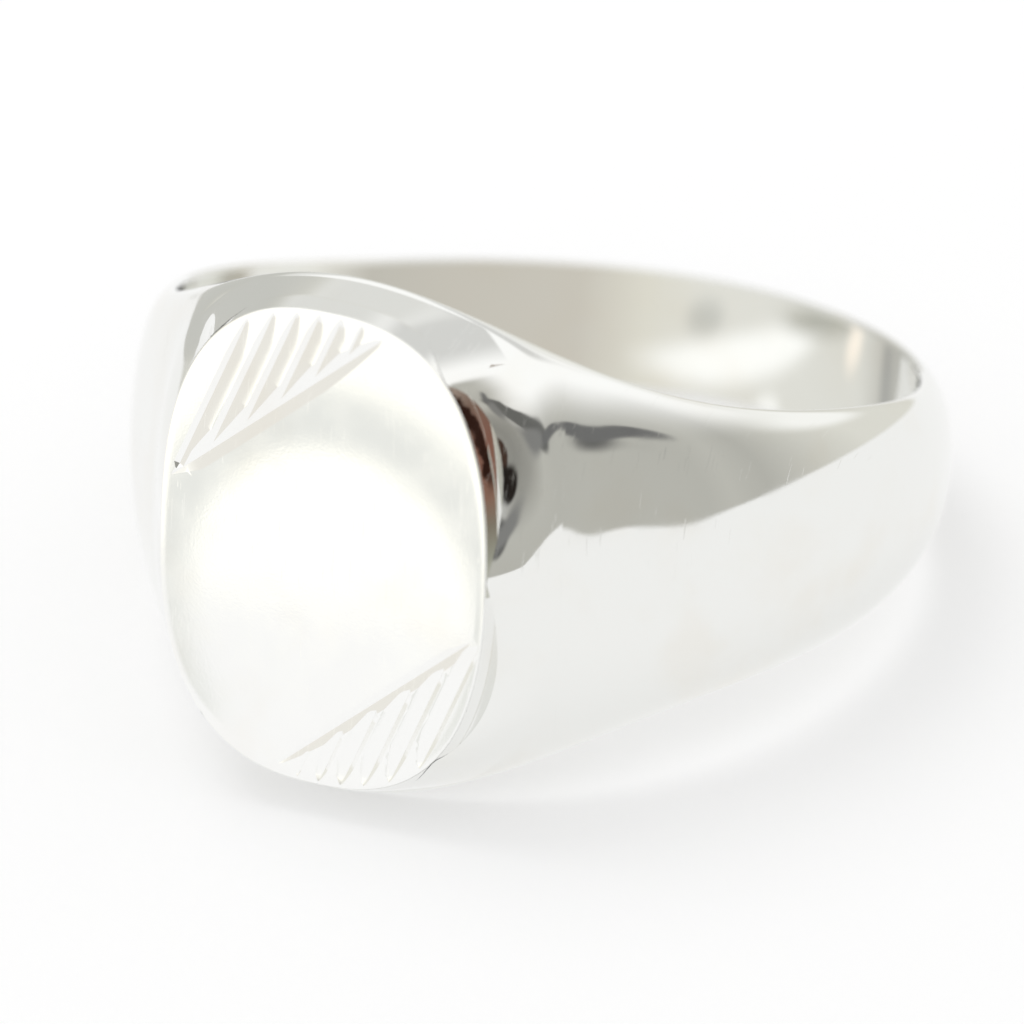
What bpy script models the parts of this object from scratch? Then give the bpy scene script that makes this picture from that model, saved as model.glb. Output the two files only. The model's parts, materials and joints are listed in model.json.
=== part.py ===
"""A signet ring made at the bench: an engraved oval table soldered on a bent band with a hollow head.

Sizes are in millimetres and become metres where a mesh is made. Every piece is drawn in the ring's own frame
(the empty "ring_frame"): Z is the finger hole's axis, and the table is square to -Y. That frame then tilts
about X, because the ring lies on its side with the deep head and the narrow back both touching the ground.
"""

import math

import bmesh
import bpy
import numpy as np
from mathutils import Matrix, Vector

MM = 0.001
SMALLEST = 1e-5

# Finger hole and band. The band is widest behind the table and narrowest at the back.
BORE_RADIUS = 9.5
HALF_WIDTH_AT_DEGREES = ((0, 6.81), (35, 5.10), (70, 3.37), (110, 2.17), (150, 1.66), (180, 1.62))
RIM_ROUNDING = 0.12
SEAT_HEIGHT = 10.30
SEAT_BEND = 0.30
SHOULDER_TOUCHES_AT = math.radians(50)
SHOULDER_THICKNESS = 1.12
BACK_THICKNESS = 0.85
SHANK_TAPER = 1.5
COVE_RUN = 0.45
COVE_FROM_RIM = 0.07

# Table: a superellipse, standing on the band's flat head.
TABLE_HEIGHT = 11.16
TABLE_HALF_WIDTH = 4.80
TABLE_HALF_LENGTH = 6.29
TABLE_EXPONENT = 2.52
TABLE_THICKNESS = 0.50
TABLE_EDGE_BEVEL = 0.05
TABLE_FLARE = 0.05

# Solder joints: thin films, each with a small clearance to the pieces that it joins.
SOLDER_FILM = 0.05
SOLDER_CLEARANCE = 0.01
SOLDER_INSET = 0.06
SIZING_SEAM_FILM = 0.08

# Hollow under the table, closed on the finger's side by a curved plate with a vent.
BACK_PLATE_HALF_WIDTH = 3.10
BACK_PLATE_HALF_LENGTH = 4.40
BACK_PLATE_THICKNESS = 0.35
VENT_RADIUS = 0.40
VENT_FROM_CENTRE = 2.60
VENT_SEGMENTS = 24

# Engraving: in two opposite corners, one long cut across the corner and a row of flutes outside it.
CHORD_DIRECTION = math.radians(38)
FLUTE_DIRECTION = math.radians(66)
CUT_SLOPE = 3.2
FLUTE_WIDTH = 0.46
FLUTE_WIDTH_SHARE = 0.3
FLUTE_SPACING = 1.20
FLUTE_COUNT = 6
FIRST_FLUTE = -2.5
FLUTE_EDGE_MARGIN = 0.18
UPPER_CORNER = {"name": "upper", "side": 1, "groove_width": 1.05, "groove_at": 3.65, "flutes_from": 4.26}
LOWER_CORNER = {"name": "lower", "side": -1, "groove_width": 0.50, "groove_at": 4.05, "flutes_from": 4.42}

# Fineness of the faceted surfaces.
HEAD_STEPS = 14
SHANK_STEPS = 30
SECTION_STEPS = 8
COVE_STEPS = 4
RIM_STEPS = 2
OUTLINE_POINTS = 72
CUT_STEPS = 6

# How far a cutter reaches past the surface it cuts, and how closely curves on the surface are found.
CUTTER_OVERRUN = 1.0
GRAVER_LIFT = 0.1
EDGE_TOLERANCE = 1e-4
PLACE_ROUNDS = 30
SLOPE_STEP = 0.001

# Worked out from the dimensions above.
HEAD_TOP = TABLE_HEIGHT - TABLE_THICKNESS - SOLDER_FILM - 2 * SOLDER_CLEARANCE
HEAD_WIDTH_AT_BORE = HALF_WIDTH_AT_DEGREES[0][1]
BACK_WIDTH_AT_BORE = HALF_WIDTH_AT_DEGREES[-1][1]
WALL_DRAFT = (HEAD_WIDTH_AT_BORE - TABLE_HALF_LENGTH) / (TABLE_HEIGHT - BORE_RADIUS - RIM_ROUNDING)
HEAD_HALF_WIDTH = TABLE_HALF_WIDTH + TABLE_FLARE
HEAD_HALF_LENGTH = TABLE_HALF_LENGTH + WALL_DRAFT * (TABLE_HEIGHT - HEAD_TOP)
TABLE_BASE_HALF_LENGTH = TABLE_HALF_LENGTH + WALL_DRAFT * TABLE_THICKNESS
RIM_RADIUS = BORE_RADIUS + RIM_ROUNDING
SHOULDER_RADIUS = BORE_RADIUS + SHOULDER_THICKNESS
BACK_RADIUS = BORE_RADIUS + BACK_THICKNESS
COVE_HALF_WIDTH = HEAD_HALF_WIDTH + COVE_RUN
COVE_HALF_LENGTH = HEAD_WIDTH_AT_BORE - COVE_FROM_RIM
WINDOW_MARGIN = SOLDER_FILM + 2 * SOLDER_CLEARANCE
REST_TILT = math.atan((HEAD_WIDTH_AT_BORE - BACK_WIDTH_AT_BORE) / (2 * RIM_RADIUS))


def clear_scene():
    for item in list(bpy.data.objects):
        bpy.data.objects.remove(item, do_unlink=True)


def metal(name, colour, roughness):
    """A Principled BSDF of bare metal."""
    material = bpy.data.materials.new(name)
    material.use_nodes = True
    surface = material.node_tree.nodes["Principled BSDF"]
    surface.inputs["Base Color"].default_value = (*colour, 1.0)
    surface.inputs["Metallic"].default_value = 1.0
    surface.inputs["Roughness"].default_value = roughness
    return material


def object_from(bm, name, material, parent, smooth_below=math.radians(35)):
    """Turn a bmesh in millimetres into an object in metres, under the ring's frame."""
    bmesh.ops.scale(bm, vec=(MM, MM, MM), verts=bm.verts)
    bmesh.ops.recalc_face_normals(bm, faces=bm.faces)
    mesh = bpy.data.meshes.new(name)
    bm.to_mesh(mesh)
    bm.free()
    mesh.shade_smooth()
    mesh.set_sharp_from_angle(angle=smooth_below)
    piece = bpy.data.objects.new(name, mesh)
    bpy.context.scene.collection.objects.link(piece)
    piece.parent = parent
    if material:
        mesh.materials.append(material)
    return piece


def bridge(bm, loops, closed=False):
    """Join a row of equal closed loops with quads, and cap the two ends of an open row."""
    rings = [[bm.verts.new(point) for point in loop] for loop in loops]
    pairs = list(zip(rings, rings[1:]))
    if closed:
        pairs.append((rings[-1], rings[0]))
    for ring, following in pairs:
        for i in range(len(ring)):
            j = (i + 1) % len(ring)
            bm.faces.new((ring[i], ring[j], following[j], following[i]))
    if not closed:
        bm.faces.new(rings[0])
        bm.faces.new(rings[-1])


def superellipse(half_width, half_length, turn):
    """A point of the table's outline, with turn 0 at the top and a quarter turn at +X."""
    power = 2 / TABLE_EXPONENT
    across = math.copysign(abs(math.sin(turn)) ** power, math.sin(turn))
    along = math.copysign(abs(math.cos(turn)) ** power, math.cos(turn))
    return half_width * across, half_length * along


def outline(half_width, half_length, depth):
    """The table's outline as a loop of points on the plane y = -depth."""
    loop = []
    for i in range(OUTLINE_POINTS):
        x, z = superellipse(half_width, half_length, math.tau * i / OUTLINE_POINTS)
        loop.append((x, -depth, z))
    return loop


def cosine_series(points):
    """The cosine series in the angle that passes through the given (degrees, value) points."""
    angles = np.radians([degrees for degrees, _ in points])
    terms = np.cos(np.outer(angles, range(len(points))))
    return np.linalg.solve(terms, [value for _, value in points])


WIDTH_SERIES = cosine_series(HALF_WIDTH_AT_DEGREES)


def band_half_width(angle):
    """Half the band's width along the finger, at an angle from the table's middle."""
    return sum(size * math.cos(term * angle) for term, size in enumerate(WIDTH_SERIES))


def smooth_least(a, b, blend):
    """The smaller of two lengths, rounded over where they differ by less than the blend."""
    overlap = max(blend - abs(a - b), 0) / blend
    return min(a, b) - overlap * overlap * blend / 4


def crown_radius(angle):
    """The band's outer radius on its middle line: a flat seat, straight shoulders and a round shank."""
    if angle < SHOULDER_TOUCHES_AT:
        seat = SEAT_HEIGHT / math.cos(angle)
        shoulder = SHOULDER_RADIUS / math.cos(SHOULDER_TOUCHES_AT - angle)
        return smooth_least(seat, shoulder, SEAT_BEND)
    share = (angle - SHOULDER_TOUCHES_AT) / (math.pi - SHOULDER_TOUCHES_AT)
    left = ((1 + math.cos(math.pi * share)) / 2) ** SHANK_TAPER
    return BACK_RADIUS + (SHOULDER_RADIUS - BACK_RADIUS) * left


def around(radius, angle, z):
    """A point of the ring's frame, at an angle from the table's middle."""
    return Vector((radius * math.sin(angle), -radius * math.cos(angle), z))


def band_point(angle, share):
    """A point of the band's D-shaped outer surface, with z as a share of the half-width there."""
    rise = math.sqrt(1 - share * share)
    radius = RIM_RADIUS + (crown_radius(angle) - RIM_RADIUS) * rise
    return around(radius, angle, share * band_half_width(angle))


def band_place(x, z):
    """The angle and the share of the half-width where the band's outer surface has this x and z."""
    angle = math.atan2(x, SEAT_HEIGHT)
    for _ in range(PLACE_ROUNDS):
        share = z / band_half_width(angle)
        angle = math.asin(x / math.hypot(*band_point(angle, share).xy))
    return angle, z / band_half_width(angle)


def cove(turn, angle, share):
    """The curve from the band up to the head's flat, which ends in line with the table's drafted edge."""
    foot = band_point(angle, share)
    along = band_point(angle + SLOPE_STEP, share) - band_point(angle - SLOPE_STEP, share)
    across = band_point(angle, share + SLOPE_STEP) - band_point(angle, share - SLOPE_STEP)
    normal = along.cross(across)
    x, z = superellipse(TABLE_HALF_WIDTH, TABLE_HALF_LENGTH, turn)
    table = Vector((x, -TABLE_HEIGHT, z))
    x, z = superellipse(HEAD_HALF_WIDTH, HEAD_HALF_LENGTH, turn)
    top = Vector((x, -HEAD_TOP, z))
    wall = top - table
    bend = top + wall * (normal.dot(foot - top) / normal.dot(wall))
    points = []
    for i in range(1, COVE_STEPS + 1):
        t = i / COVE_STEPS
        points.append((1 - t) ** 2 * foot + 2 * t * (1 - t) * bend + t * t * top)
    return points


def band_section(angle, share=0.0, turn=None):
    """Half a section of the band at an angle, from the finger hole over its rim to a share of its width.

    Beside the table it goes on up the cove, to the turn of the table's outline.
    """
    width = band_half_width(angle)
    points = []
    for i in range(RIM_STEPS):
        roll = math.pi / 2 * i / RIM_STEPS
        z = width - RIM_ROUNDING * (1 - math.sin(roll))
        points.append(around(RIM_RADIUS - RIM_ROUNDING * math.cos(roll), angle, z))
    for i in range(SECTION_STEPS + 1):
        points.append(band_point(angle, math.cos(math.acos(share) * i / SECTION_STEPS)))
    if turn is None:
        return points + points[-1:] * COVE_STEPS
    return points + cove(turn, angle, share)


def both_halves(section, side=1):
    """The closed loop of a half section and its mirror image in z; side -1 also mirrors it in x."""
    loop = section + [Vector((p.x, p.y, -p.z)) for p in reversed(section)]
    return [Vector((side * p.x, p.y, p.z)) for p in loop]


def half_ring():
    """Half sections from the table's middle round to the seam at the back."""
    sections = []
    for i in range(HEAD_STEPS + 1):
        turn = math.pi / 2 * i / HEAD_STEPS
        x, z = superellipse(COVE_HALF_WIDTH, COVE_HALF_LENGTH, turn)
        angle, share = band_place(x, z if i < HEAD_STEPS else 0.0)
        sections.append(band_section(angle, share, turn))
    half_gap = SIZING_SEAM_FILM / 2 + SOLDER_CLEARANCE
    last = math.pi - half_gap / BORE_RADIUS
    for i in range(1, SHANK_STEPS + 1):
        sections.append(band_section(angle + (last - angle) * i / SHANK_STEPS))
    return sections


def cutter(bm, name, parent):
    """A solid that is only used to cut another."""
    tool = object_from(bm, name, None, parent)
    tool.hide_render = True
    tool.display_type = "WIRE"
    return tool


def cut(piece, tool):
    modifier = piece.modifiers.new(tool.name, "BOOLEAN")
    modifier.operation = "DIFFERENCE"
    modifier.solver = "EXACT"
    modifier.object = tool


def make_ring_body(silver, parent):
    """The bent blank: flat head, shoulders and D-section shank, open at the back for its sizing seam."""
    half = half_ring()
    loops = [both_halves(section, side=-1) for section in reversed(half[1:])]
    loops += [both_halves(section) for section in half]
    bm = bmesh.new()
    bridge(bm, loops)
    folded = [face for face in bm.faces if all(abs(vert.co.z) < SMALLEST for vert in face.verts)]
    bmesh.ops.delete(bm, geom=folded, context="FACES")
    bmesh.ops.remove_doubles(bm, verts=bm.verts, dist=SMALLEST)
    body = object_from(bm, "ring_body", silver, parent)
    half_width = BACK_PLATE_HALF_WIDTH + WINDOW_MARGIN
    half_length = BACK_PLATE_HALF_LENGTH + WINDOW_MARGIN
    depths = (HEAD_TOP + CUTTER_OVERRUN, BORE_RADIUS - CUTTER_OVERRUN)
    window = bmesh.new()
    bridge(window, [outline(half_width, half_length, depth) for depth in depths])
    cut(body, cutter(window, "head_window_cutter", parent))
    return body


def make_face_plate(silver, parent):
    """The engraved table: a thin plate with a fine bevel round its upper edge."""
    bevel = TABLE_EDGE_BEVEL
    loops = [
        outline(HEAD_HALF_WIDTH, TABLE_BASE_HALF_LENGTH, TABLE_HEIGHT - TABLE_THICKNESS),
        outline(TABLE_HALF_WIDTH, TABLE_HALF_LENGTH, TABLE_HEIGHT - bevel),
        outline(TABLE_HALF_WIDTH - bevel, TABLE_HALF_LENGTH - bevel, TABLE_HEIGHT),
    ]
    bm = bmesh.new()
    bridge(bm, loops)
    plate = object_from(bm, "face_plate", silver, parent)
    engrave_corner(plate, parent, **UPPER_CORNER)
    engrave_corner(plate, parent, **LOWER_CORNER)
    return plate


def graver_cut(start, end, width):
    """A V-shaped cut from start to end on the table, deepest and widest in its middle, as a bmesh."""
    along = (end - start).normalized()
    across = Vector((-along.y, along.x))
    sections = []
    for i in range(CUT_STEPS + 1):
        share = i / CUT_STEPS
        depth = width / 2 / CUT_SLOPE * math.sin(math.pi * share)
        middle = start.lerp(end, share)
        reach = (depth + GRAVER_LIFT) * CUT_SLOPE
        left = middle + across * reach
        right = middle - across * reach
        sections.append(
            (
                (left.x, -TABLE_HEIGHT - GRAVER_LIFT, left.y),
                (middle.x, -TABLE_HEIGHT + depth, middle.y),
                (right.x, -TABLE_HEIGHT - GRAVER_LIFT, right.y),
            )
        )
    bm = bmesh.new()
    bridge(bm, sections)
    return bm


def run_to_edge(start, direction, margin):
    """Where a line on the table meets its outline, drawn in by the margin."""
    half_width = TABLE_HALF_WIDTH - margin
    half_length = TABLE_HALF_LENGTH - margin
    near, far = 0.0, 2 * TABLE_HALF_LENGTH
    while far - near > EDGE_TOLERANCE:
        middle = (near + far) / 2
        point = start + direction * middle
        level = abs(point.x / half_width) ** TABLE_EXPONENT + abs(point.y / half_length) ** TABLE_EXPONENT
        near, far = (middle, far) if level < 1 else (near, middle)
    return start + direction * near


def engrave_corner(plate, parent, name, side, groove_width, groove_at, flutes_from):
    """The long cut and the flutes of one corner; the opposite corner has side -1."""
    chord = side * Vector((math.cos(CHORD_DIRECTION), math.sin(CHORD_DIRECTION)))
    outward = Vector((-chord.y, chord.x))
    flute = side * Vector((math.cos(FLUTE_DIRECTION), math.sin(FLUTE_DIRECTION)))
    middle = outward * groove_at
    ends = [run_to_edge(middle, chord * way, FLUTE_EDGE_MARGIN) for way in (-1, 1)]
    cut(plate, cutter(graver_cut(*ends, groove_width), f"{name}_groove_cutter", parent))
    for i in range(FLUTE_COUNT):
        start = outward * flutes_from + chord * (FIRST_FLUTE + FLUTE_SPACING * i)
        end = run_to_edge(start, flute, FLUTE_EDGE_MARGIN)
        width = min(FLUTE_WIDTH, FLUTE_WIDTH_SHARE * (end - start).length)
        cut(plate, cutter(graver_cut(start, end, width), f"{name}_flute_{i + 1}_cutter", parent))


def make_face_solder(solder, parent):
    """The film between the table and the head, as wide as the head's flat rim."""
    inner_half_width = BACK_PLATE_HALF_WIDTH + WINDOW_MARGIN + SOLDER_INSET
    inner_half_length = BACK_PLATE_HALF_LENGTH + WINDOW_MARGIN + SOLDER_INSET
    outer_half_width = HEAD_HALF_WIDTH - SOLDER_INSET
    outer_half_length = HEAD_HALF_LENGTH - SOLDER_INSET
    low = HEAD_TOP + SOLDER_CLEARANCE
    high = low + SOLDER_FILM
    loops = [
        outline(inner_half_width, inner_half_length, low),
        outline(outer_half_width, outer_half_length, low),
        outline(outer_half_width, outer_half_length, high),
        outline(inner_half_width, inner_half_length, high),
    ]
    bm = bmesh.new()
    bridge(bm, loops, closed=True)
    return object_from(bm, "face_solder_seam", solder, parent)


def on_bore(loop, radius):
    """Drop a loop along Y on a cylinder about the finger hole's axis."""
    return [(x, -math.sqrt(radius * radius - x * x), z) for x, _, z in loop]


def make_back_plate(silver, parent):
    """The curved plate that closes the hollow on the finger's side, with its vent.

    It is straight along the finger, so each strip runs from one end of the plate to the other.
    """
    inner = BORE_RADIUS
    outer = BORE_RADIUS + BACK_PLATE_THICKNESS
    bm = bmesh.new()
    rows = []
    for i in range(OUTLINE_POINTS // 2 + 1):
        turn = math.pi * (i / (OUTLINE_POINTS // 2) - 0.5)
        x, z = superellipse(BACK_PLATE_HALF_WIDTH, BACK_PLATE_HALF_LENGTH, turn)
        if i in (0, OUTLINE_POINTS // 2):
            z = 0.0
        corners = ((inner, z), (outer, z), (outer, -z), (inner, -z))
        rows.append([bm.verts.new((x, -math.sqrt(r * r - x * x), end)) for r, end in corners])
    for row, following in zip(rows, rows[1:]):
        for i in range(4):
            j = (i + 1) % 4
            bm.faces.new((row[i], row[j], following[j], following[i]))
    bmesh.ops.remove_doubles(bm, verts=bm.verts, dist=SMALLEST)
    plate = object_from(bm, "back_plate", silver, parent)
    vent = bmesh.new()
    bmesh.ops.create_cone(
        vent,
        cap_ends=True,
        segments=VENT_SEGMENTS,
        radius1=VENT_RADIUS,
        radius2=VENT_RADIUS,
        depth=2 * CUTTER_OVERRUN,
    )
    bmesh.ops.rotate(vent, matrix=Matrix.Rotation(math.pi / 2, 3, "X"), verts=vent.verts)
    bmesh.ops.translate(vent, vec=(0, -BORE_RADIUS, VENT_FROM_CENTRE), verts=vent.verts)
    cut(plate, cutter(vent, "vent_cutter", parent))
    return plate


def make_back_solder(solder, parent):
    """The film round the back plate's edge."""
    near = SOLDER_CLEARANCE
    far = SOLDER_CLEARANCE + SOLDER_FILM
    inner = BORE_RADIUS
    outer = BORE_RADIUS + BACK_PLATE_THICKNESS
    loops = []
    for margin, radius in ((near, inner), (far, inner), (far, outer), (near, outer)):
        flat = outline(BACK_PLATE_HALF_WIDTH + margin, BACK_PLATE_HALF_LENGTH + margin, 0)
        loops.append(on_bore(flat, radius))
    bm = bmesh.new()
    bridge(bm, loops, closed=True)
    return object_from(bm, "back_solder_seam", solder, parent)


def make_sizing_solder(solder, parent):
    """The film where the blank's two ends meet at the back, with the shank's own section."""
    angle = math.pi - SIZING_SEAM_FILM / 2 / BORE_RADIUS
    end = band_section(angle)
    bm = bmesh.new()
    bridge(bm, [both_halves(end), both_halves(end, side=-1)])
    bmesh.ops.remove_doubles(bm, verts=bm.verts, dist=SMALLEST)
    return object_from(bm, "sizing_solder_seam", solder, parent)


def lay_on_ground(frame, pieces):
    """Tilt the ring to its rest and put the middle of its footprint at the origin."""
    frame.rotation_euler = (-REST_TILT, 0, 0)
    bpy.context.view_layer.update()
    points = [piece.matrix_world @ vertex.co for piece in pieces for vertex in piece.data.vertices]
    low = [min(point[axis] for point in points) for axis in range(3)]
    high = [max(point[axis] for point in points) for axis in range(3)]
    frame.location = (-(low[0] + high[0]) / 2, -(low[1] + high[1]) / 2, -low[2])


def main():
    clear_scene()
    frame = bpy.data.objects.new("ring_frame", None)
    bpy.context.scene.collection.objects.link(frame)
    polished = metal("polished_silver", (0.88, 0.87, 0.84), 0.08)
    satin = metal("satin_silver", (0.93, 0.92, 0.90), 0.28)
    lining = metal("lining_silver", (0.85, 0.83, 0.79), 0.18)
    solder = metal("hard_solder", (0.80, 0.77, 0.70), 0.25)
    pieces = [
        make_ring_body(polished, frame),
        make_face_plate(satin, frame),
        make_back_plate(lining, frame),
        make_face_solder(solder, frame),
        make_back_solder(solder, frame),
        make_sizing_solder(solder, frame),
    ]
    lay_on_ground(frame, pieces)


main()
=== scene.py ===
"""Looks for the signet ring: fine-meshed silver pieces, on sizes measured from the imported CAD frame."""

import json
import math

import bmesh
import bpy
import numpy as np
from mathutils import Matrix, Vector


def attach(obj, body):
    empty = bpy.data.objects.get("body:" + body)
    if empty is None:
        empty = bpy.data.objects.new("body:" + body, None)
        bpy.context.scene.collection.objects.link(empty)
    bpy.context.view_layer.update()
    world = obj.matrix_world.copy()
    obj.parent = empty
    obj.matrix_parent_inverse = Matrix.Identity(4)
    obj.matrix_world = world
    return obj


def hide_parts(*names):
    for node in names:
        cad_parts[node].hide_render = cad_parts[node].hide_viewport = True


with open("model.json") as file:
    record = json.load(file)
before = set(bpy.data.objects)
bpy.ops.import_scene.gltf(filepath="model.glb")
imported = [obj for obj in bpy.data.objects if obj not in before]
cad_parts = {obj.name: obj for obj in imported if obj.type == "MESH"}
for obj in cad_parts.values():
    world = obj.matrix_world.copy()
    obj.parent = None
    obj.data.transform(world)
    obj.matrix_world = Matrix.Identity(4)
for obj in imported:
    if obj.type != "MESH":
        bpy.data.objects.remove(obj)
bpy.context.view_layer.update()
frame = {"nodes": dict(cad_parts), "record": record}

MM = 0.001

# Fineness of the surfaces, and how closely sizes are found in the frame.
HEAD_STEPS = 64
SHANK_STEPS = 150
SECTION_STEPS = 40
SHOULDER_STEPS = 20
RIM_STEPS = 6
OUTLINE_POINTS = 288
VENT_SEGMENTS = 48
CUT_STEPS = 24
EDGE_STEPS = 8
FACE_RINGS = 22
PLACE_ROUNDS = 40
CURVE_STEPS = 720
CURVE_HOLD = 0.01
WIDTH_TERMS = 6
SLOPE_STEP = 0.001
SMALLEST = 1e-8
EVEN = 2e-6
SMALL_GAP = 1e-5
VENT_SEARCH = 0.6 * MM
FACING_AXIS = 0.99
SMOOTH_BELOW = math.radians(30)
TABLE_SMOOTH_BELOW = math.radians(14)

# Shoulders: where they start round the head, as shares of its half-width and of the band's. A straight facet
# beside the finger hole fades out past the table's corner. Each shoulder has a ridge on its middle line and
# one at the corner, both flush with the table, and a valley scooped between them.
SHOULDER_RUN_SHARE = 0.235
SHOULDER_RIM_SHARE = 0.988
SHOULDER_BEND = 0.5
FACET_END = math.radians(22)
FACET_HELD = math.radians(42)
FACET_FADED = math.radians(60)
CORNER_RIDGE = math.radians(42)
VALLEY_DEPTH = 0.92 * MM
VALLEY_ROUNDNESS = 0.75

# Table: its face is crowned a little by polishing, and its wall keeps its slope up to the rounded edge.
FACE_CROWN = 0.015 * MM
WALL_HOLD = 0.02

# Engraving, in shares of the table's half-width across the finger. A cut leans: its steep side is the narrow
# one. Where a cut starts and ends, it deepens over these shares of its length.
CHORD_DIRECTION = math.radians(38)
FLUTE_DIRECTION = math.radians(66)
CUT_SLOPE = 3.2
GROOVE_ENDS = (0.13, 0.30)
FLUTE_END = 0.24
GRAVER_LIFT = 0.02
GROOVE_LEAN = 0.58
FLUTE_WIDTH = 0.120
FLUTE_WIDTH_SHARE = 0.26
FLUTE_LEAN = 0.28
FLUTE_SPACING = 0.257
FLUTE_COUNT = 6
FIRST_FLUTE = -0.56
FLUTE_EDGE_MARGIN = 0.012
GROOVE_EDGE_MARGIN = 0.0375
UPPER_CORNER = {
    "name": "upper",
    "side": 1,
    "groove_width": 0.165,
    "groove_at": 0.760,
    "flutes_from": 0.768,
    "flute_start": 0.004,
}
LOWER_CORNER = {
    "name": "lower",
    "side": -1,
    "groove_width": 0.105,
    "groove_at": 0.838,
    "flutes_from": 0.866,
    "flute_start": 0.10,
}

# Stage: a white sheet that the silver mirrors, and the room past its edge. Directions are in degrees: to the
# right of the table's front, and above the horizon.
FLOOR_RADIUS = 66 * MM
FLOOR_CENTRE = (3 * MM, -10 * MM)
FLOOR_SEGMENTS = 96
FLOOR_WHITE = 0.70
FLOOR_GLOW = 0.32
MIRRORED_WHITE = 0.25
MIRRORED_GLOW = 0.75
EVEN_LIGHT = 0.84
LAMP_POWER = 0.40
LAMP_PLACE = (-0.22, 0.10, 0.42)
LAMP_SIZE = 0.30
ROOM_ROUND = (
    (-180, 0.80),
    (-145, 0.74),
    (-107, 0.62),
    (-85, 0.74),
    (-68, 1.00),
    (-40, 1.25),
    (-5, 1.20),
    (12, 0.36),
    (30, 0.29),
    (46, 0.36),
    (62, 0.54),
    (76, 0.52),
    (84, 0.56),
    (96, 0.50),
    (118, 0.68),
    (139, 0.80),
    (180, 0.80),
)
ROOM_TINT = (1.0, 0.99, 0.92)
CEILING = 1.12
CEILING_FROM = 14
CEILING_FULL = 44
# Soft-edged patches of the room: direction, half-sizes, turn, softness and colour.
PATCHES = (
    ((155, 20), (32, 9), 0, 0.5, (1.05, 1.05, 1.03)),
    ((165, 55), (30, 12), 0, 0.4, (0.74, 0.74, 0.73)),
    ((-140, 38), (45, 14), 0, 0.5, (0.82, 0.82, 0.80)),
    ((-120, 2), (26, 20), 0, 0.5, (0.62, 0.62, 0.59)),
    ((-52, 3), (12, 22), 0, 0.25, (0.86, 0.84, 0.79)),
    ((23, 33), (20, 2.2), 0, 0.5, (0.12, 0.12, 0.11)),
    ((58, 23), (19, 7), -40, 0.12, (0.15, 0.15, 0.145)),
    ((57, 16), (11, 5), 0, 0.4, (0.24, 0.24, 0.235)),
    ((73, 14.8), (6.5, 2.5), 8, 0.2, (0.17, 0.17, 0.17)),
    ((19.5, 11), (4.2, 10), 0, 0.15, (0.06, 0.035, 0.026)),
    ((30.0, 19.5), (12, 5.2), 0, 0.12, (0.018, 0.014, 0.012)),
)

# Glowing cards that only mirrored rays meet: they paint reflections into the silver and light nothing else.
# The arc is a painted reflection on the table, a grey arc glowing on a card in front of it, sized in
# millimetres on the table. Rays off its direction fade between these angles, in degrees.
ARC_DISTANCE = 20 * MM
ARC_RAYS = (12, 16)
ARC_MIDDLE = (0.3, -1.9)
ARC_RADII = (4.72, 6.45)
ARC_EDGES = (0.25, 0.55)
PAINTED_ARC_REFLECTION_GREY = (0.83, 0.84, 0.81)

# The hand card is a painted reflection for the wall at the table's right: a glowing card, warm and dark like
# a hand, that only mirrored rays meet. It stands close over the shoulder, at shares of the table's
# half-width, height and half-length. Its colours go by height on the card, in millimetres, and a painted line
# of shade climbs it. The rays that meet it have a middle azimuth, and fade between two distances from it.
HAND_PLACE = (1.3333, 0.8313, 0.4952)
HAND_HALF_SIZE = (1.4 * MM, 4.6 * MM)
HAND_AZIMUTH = 129
HAND_RAYS = (130, 8, 10)
HAND_REFLECTION_COLOURS = (
    (-4.2, (0.62, 0.62, 0.56)),
    (-3.3, (0.34, 0.34, 0.28)),
    (-2.2, (0.23, 0.20, 0.155)),
    (-1.2, (0.26, 0.145, 0.105)),
    (0.6, (0.24, 0.115, 0.085)),
    (2.4, (0.21, 0.14, 0.11)),
    (4.2, (0.42, 0.35, 0.30)),
)
HAND_SHADE = (0.03, 0.012, 0.008)
SHADE_LINE = (0.20, 0.04)
SHADE_HALF_WIDTHS = (0.084, 0.224)
SHADE_FROM = (-1.3, -0.3)
SHADE_WANDER = 0.5
BLOTCHES_PER_MM = 1.6

# The finger hole's wall mirrors a glowing tube inside it, coloured by the direction of the ray: painted
# reflections, which only mirrored rays meet.
HOLE_RADIUS_SHARE = 0.94
HOLE_LENGTH_SHARE = 1.7
HOLE_SEGMENTS = 96
HOLE_RAYS = (-150, -140, 125, 140)
HOLE_REFLECTION_ROUND = (
    (-140, (0.33, 0.33, 0.31)),
    (-110, (0.50, 0.50, 0.47)),
    (-95, (0.60, 0.59, 0.55)),
    (-80, (0.82, 0.82, 0.78)),
    (-20, (0.86, 0.85, 0.80)),
    (0, (0.82, 0.80, 0.72)),
    (20, (0.67, 0.64, 0.58)),
    (60, (0.64, 0.61, 0.55)),
    (85, (0.60, 0.58, 0.53)),
    (105, (0.90, 0.90, 0.86)),
    (140, (0.92, 0.92, 0.90)),
)
# Painted highlights and dark patches in the hole's painted reflection.
HOLE_REFLECTION_PATCHES = (
    ((-19, -1), (6, 2.2), 0, 0.5, (0.66, 0.66, 0.62)),
    ((-32, -6.5), (30, 2.8), 0, 0.4, (1.16, 1.16, 1.14)),
    ((-41, -14), (5, 2.2), 0, 0.4, (1.16, 1.16, 1.14)),
    ((-64, -7), (19, 1.4), 11, 0.4, (0.52, 0.52, 0.47)),
    ((-77, -12), (4, 1.8), 0, 0.5, (1.14, 1.06, 0.96)),
    ((-97, -19), (4, 4), 0, 0.4, (0.46, 0.46, 0.44)),
)

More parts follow.
